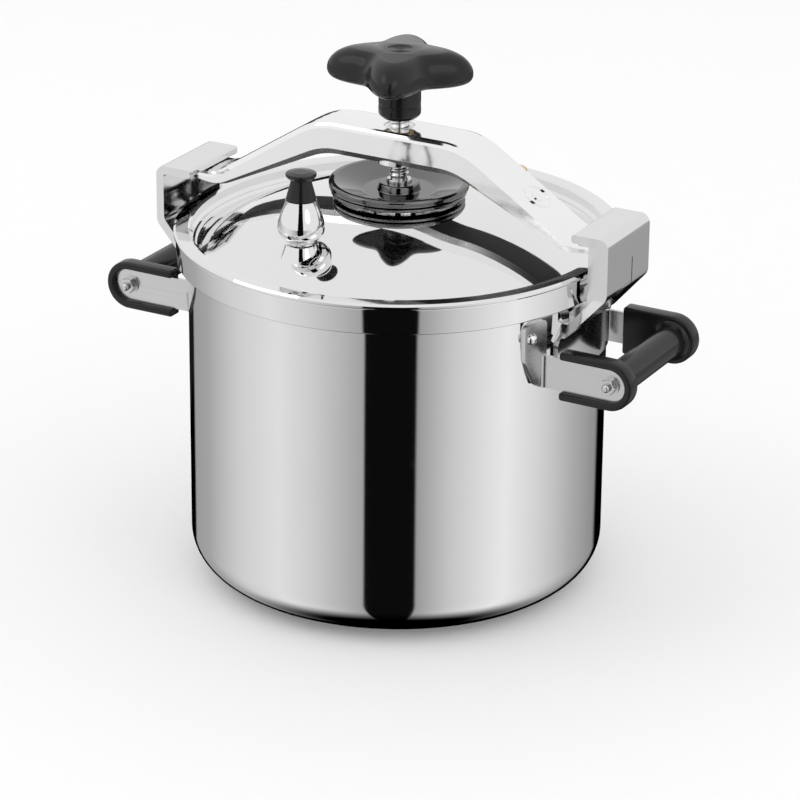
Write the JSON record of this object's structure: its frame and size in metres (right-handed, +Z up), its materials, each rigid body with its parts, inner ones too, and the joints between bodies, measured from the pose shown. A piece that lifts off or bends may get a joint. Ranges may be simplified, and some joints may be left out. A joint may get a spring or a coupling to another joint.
{
  "type": "pressure canner",
  "caption": "Tall stainless stockpot whose domed lid is pressed shut by a swinging bridge beam and a central hand screw, with a weighted vent.",
  "frame": {"origin": "centre of the flat base, on the surface it stands on", "axes": "+Z up through the screw, +X along the clamp beam towards the right handle"},
  "size_m": [0.4248, 0.32, 0.3917],
  "materials": {
    "steel_polished": "mirror polished stainless steel",
    "steel_lug": "polished pressed steel",
    "steel_cast": "polished cast steel",
    "steel_brushed": "satin steel",
    "dish_steel": "dark mirror polished steel",
    "aluminium": "plain aluminium disc",
    "bakelite": "glossy black bakelite",
    "badge_plastic": "glossy black disc",
    "silicone": "translucent grey silicone",
    "brass": "machined brass"
  },
  "bodies": {
    "pot": {"pot_body": "steel_polished", "base_core": "aluminium", "base_cap": "steel_brushed", "lug_right": "steel_lug", "lug_left": "steel_lug", "strap_right_front": "steel_brushed", "strap_right_back": "steel_brushed", "strap_left_front": "steel_brushed", "strap_left_back": "steel_brushed", "strap_rivets": "steel_polished", "handle_right": "bakelite", "handle_left": "bakelite", "handle_bolts": "steel_brushed", "handle_nuts": "steel_brushed", "handle_washers": "steel_brushed"},
    "lid": {"lid_shell": "steel_polished", "sealing_ring": "silicone", "dish_foot": "steel_polished", "dish_plate": "dish_steel", "pressure_dish": "dish_steel", "vent_pipe": "steel_polished", "vent_nut": "steel_brushed", "vent_gasket": "silicone", "anti_clog_cap": "steel_brushed", "safety_housing": "brass", "safety_nut": "steel_brushed", "safety_gasket": "silicone", "safety_spring": "steel_brushed"},
    "safety": {"safety_pin": "brass"},
    "weight": {"weight_body": "steel_polished", "weight_cap": "bakelite"},
    "beam": {"clamp_beam": "steel_cast", "beam_bush": "steel_brushed"},
    "spindle": {"clamp_screw": "steel_polished", "screw_collar": "steel_polished", "knob": "bakelite", "knob_insert": "brass", "knob_badge": "badge_plastic"},
    "rack": {"steam_plate": "steel_polished"}
  },
  "joints": [
    {"name": "knob_spin", "type": "hinge", "parent": "lid", "child": "spindle", "pos_m": [0, 0, 0.36], "axis": [0, 0, 1], "range_deg": [0, 720]},
    {"name": "lid_lift", "type": "slide", "parent": "pot", "child": "lid", "axis": [0, 0, 1], "range_m": [0, 0.008]},
    {"name": "beam_swing", "type": "hinge", "parent": "pot", "child": "beam", "pos_m": [0, 0, 0.32], "axis": [0, 0, 1], "range_deg": [0, 45]},
    {"name": "weight_lift", "type": "slide", "parent": "lid", "child": "weight", "axis": [0, 0, 1], "range_m": [0, 0.05]},
    {"name": "safety_pin_lift", "type": "slide", "parent": "lid", "child": "safety", "axis": [0, 0, 1], "range_m": [0, 0.002]},
    {"name": "rack_lift", "type": "slide", "parent": "pot", "child": "rack", "axis": [0, 0, 1], "range_m": [0, 0.15]}
  ],
  "couplings": [
    {"joint": "knob_spin", "follows": "lid_lift", "rad_per_m": 1570.8}
  ]
}
